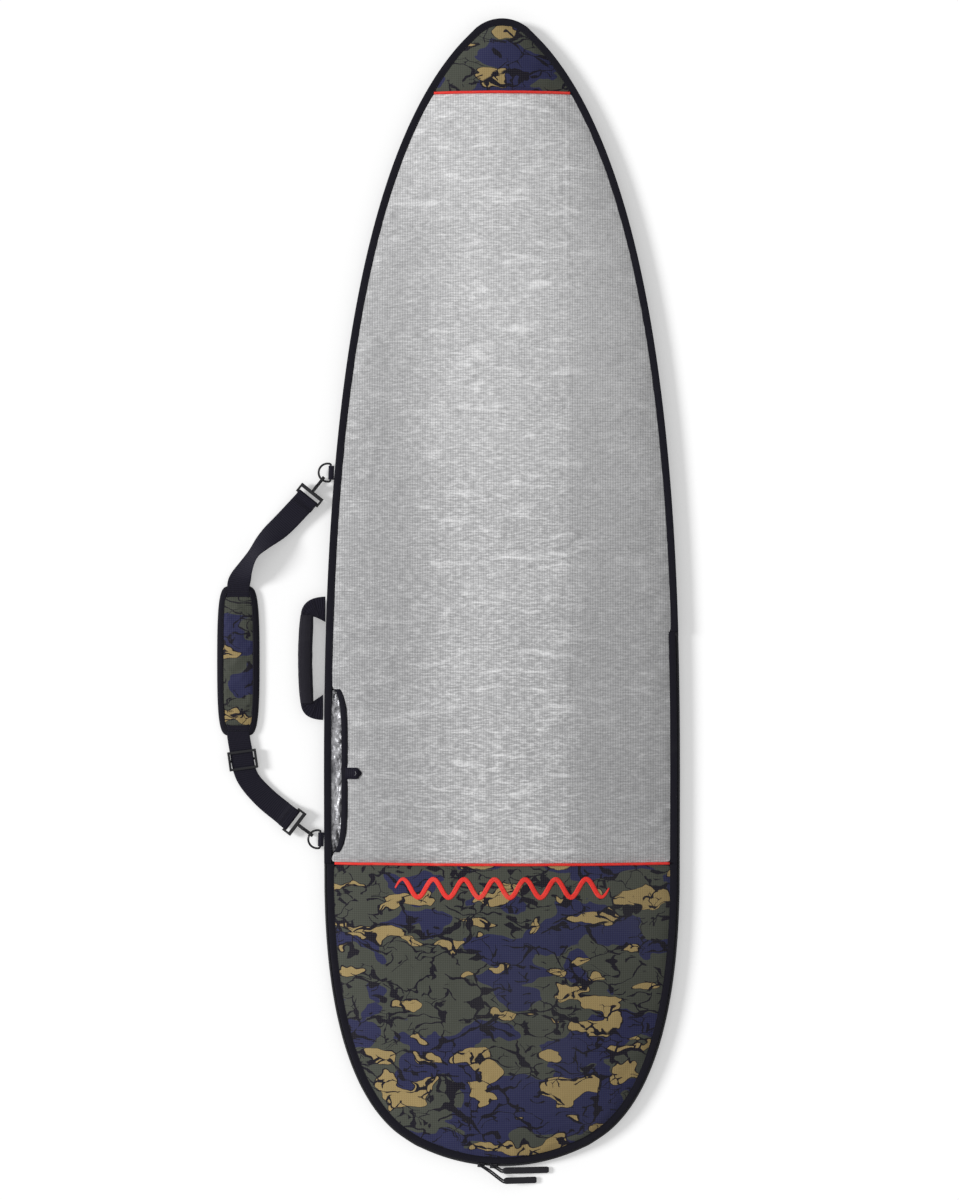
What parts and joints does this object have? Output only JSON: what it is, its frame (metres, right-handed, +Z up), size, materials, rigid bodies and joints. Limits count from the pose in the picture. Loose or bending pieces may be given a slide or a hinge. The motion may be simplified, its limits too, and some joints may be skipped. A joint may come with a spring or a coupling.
{
  "type": "surfboard bag",
  "caption": "Long padded bag for a short surfboard, with a crowned deck, a zip round the tail, a carry handle, a side pocket and a clip-on shoulder strap.",
  "frame": {"origin": "middle of the base's underside, on the centreline at half the bag's length", "axes": "+Y to the pointed nose, +Z up from the ground, -X the side with the strap and the handle"},
  "size_m": [0.7715, 1.9387, 0.0632],
  "materials": {
    "tarp": "woven silver-grey laminated tarpaulin, low sheen",
    "camouflage": "ripstop polyester printed in olive, navy, tan and near-black patches",
    "binding": "black ribbed polyester binding tape",
    "base_cloth": "black coarse woven polyester",
    "webbing": "black woven webbing with fine ribs",
    "grip_cloth": "black padded cloth wrap",
    "red_trim": "red piping and printed red motif",
    "foam": "closed-cell polyethylene foam",
    "silver_lining": "thin crumpled silver-grey lining",
    "zip_plastic": "moulded black zip teeth on tape",
    "pull_rubber": "matt black moulded pulls on cord",
    "hook_plastic": "black moulded plastic",
    "dark_metal": "dark plated metal with a satin finish"
  },
  "bodies": {
    "shell": {"base_cover": "base_cloth", "base_foam": "foam", "base_lining": "silver_lining", "base_binding": "binding", "deck_cover": "tarp", "nose_panel": "camouflage", "deck_foam": "foam", "deck_lining": "silver_lining", "nose_piping": "red_trim", "deck_binding": "binding", "deck_binding_side": "binding", "zip_base_half": "zip_plastic", "zip_side_half": "zip_plastic", "zip_stop_side": "dark_metal", "zip_stop_tail": "dark_metal", "pocket_lining": "silver_lining", "pocket_binding": "binding", "ring_tab_fore": "webbing", "ring_tab_aft": "webbing"},
    "tail_flap": {"tail_panel": "camouflage", "tail_foam": "foam", "tail_lining": "silver_lining", "tail_piping": "red_trim", "tail_motif": "red_trim", "deck_binding_tail": "binding", "zip_tail_half": "zip_plastic"},
    "slider_1": {"zip_slider_1": "dark_metal"},
    "slider_2": {"zip_slider_2": "dark_metal"},
    "pull_1": {"zip_pull_1": "pull_rubber"},
    "pull_2": {"zip_pull_2": "pull_rubber"},
    "pocket_pull": {"pocket_tab": "webbing"},
    "ring_fore": {"d_ring_fore": "dark_metal"},
    "ring_aft": {"d_ring_aft": "dark_metal"},
    "strap": {"hook_loop_fore": "hook_plastic", "hook_loop_aft": "hook_plastic", "webbing_fore": "webbing", "webbing_aft": "webbing", "pad_cover": "camouflage", "pad_foam": "foam", "pad_backing": "base_cloth", "pad_binding": "binding"},
    "hook_body_fore": {"hook_fore": "hook_plastic"},
    "hook_body_aft": {"hook_aft": "hook_plastic"},
    "gate_fore": {"hook_gate_fore": "dark_metal"},
    "gate_aft": {"hook_gate_aft": "dark_metal"},
    "strap_adjuster": {"adjuster": "hook_plastic"},
    "handle": {"handle_anchor_fore": "webbing", "handle_anchor_aft": "webbing", "handle_grip": "grip_cloth"}
  },
  "joints": [
    {"name": "tail_flap_hinge", "type": "hinge", "parent": "shell", "child": "tail_flap", "pos_m": [0, -0.45, 0.0617], "axis": [-1, 0, 0], "range_deg": [0, 70]},
    {"name": "slider_1_travel", "type": "hinge", "parent": "tail_flap", "child": "slider_1", "pos_m": [0, -0.643, 0], "axis": [0, 0, -1], "range_deg": [0, 19]},
    {"name": "slider_2_travel", "type": "hinge", "parent": "tail_flap", "child": "slider_2", "pos_m": [0, -0.643, 0], "axis": [0, 0, 1], "range_deg": [0, 27]},
    {"name": "pull_1_swing", "type": "hinge", "parent": "slider_1", "child": "pull_1", "pos_m": [-0.03483, -0.95355, 0.0187], "axis": [-0.1115, -0.9938, 0], "range_deg": [0, 150]},
    {"name": "pull_2_swing", "type": "hinge", "parent": "slider_2", "child": "pull_2", "pos_m": [-0.01418, -0.95518, 0.0187], "axis": [-0.0454, -0.999, 0], "range_deg": [0, 85]},
    {"name": "pocket_tab_lift", "type": "hinge", "parent": "shell", "child": "pocket_pull", "pos_m": [-0.26064, -0.3, 0.02873], "axis": [0, -1, 0], "range_deg": [0, 130]},
    {"name": "strap_swing", "type": "hinge", "parent": "shell", "child": "strap", "pos_m": [-0.28534, 0.1995, 0.0105], "axis": [0.0283, 0.9996, 0], "range_deg": [0, 85]},
    {"name": "ring_fore_swing", "type": "hinge", "parent": "shell", "child": "ring_fore", "pos_m": [-0.28534, 0.1995, 0.0105], "axis": [0.0283, 0.9996, 0], "range_deg": [0, 85]},
    {"name": "ring_aft_swing", "type": "hinge", "parent": "shell", "child": "ring_aft", "pos_m": [-0.28534, 0.1995, 0.0105], "axis": [0.0283, 0.9996, 0], "range_deg": [0, 85]},
    {"name": "hook_fore_swivel", "type": "hinge", "parent": "strap", "child": "hook_body_fore", "pos_m": [-0.29968, 0.1879, 0.0105], "axis": [-0.6225, -0.7826, 0], "range_deg": [-12, 12]},
    {"name": "hook_aft_swivel", "type": "hinge", "parent": "strap", "child": "hook_body_aft", "pos_m": [-0.31955, -0.40179, 0.0105], "axis": [-0.7965, 0.6046, 0], "range_deg": [-12, 12]},
    {"name": "gate_fore_press", "type": "hinge", "parent": "hook_body_fore", "child": "gate_fore", "pos_m": [-0.30665, 0.17914, 0.0162], "axis": [-0.7826, 0.6225, 0], "range_deg": [0, 20], "stiffness_Nm_per_rad": 0.01},
    {"name": "gate_aft_press", "type": "hinge", "parent": "hook_body_aft", "child": "gate_aft", "pos_m": [-0.32848, -0.39502, 0.0162], "axis": [0.6046, 0.7965, 0], "range_deg": [0, 20], "stiffness_Nm_per_rad": 0.01},
    {"name": "adjuster_slide", "type": "slide", "parent": "strap", "child": "strap_adjuster", "axis": [-0.1392, 0.9903, 0], "range_m": [0, 0.01]},
    {"name": "handle_lift", "type": "hinge", "parent": "shell", "child": "handle", "pos_m": [-0.29788, -0.191, 0.0145], "axis": [0.023, 0.9997, 0], "range_deg": [0, 85]}
  ],
  "couplings": [
    {"joint": "ring_fore_swing", "follows": "strap_swing", "ratio": 1},
    {"joint": "ring_aft_swing", "follows": "strap_swing", "ratio": 1}
  ]
}
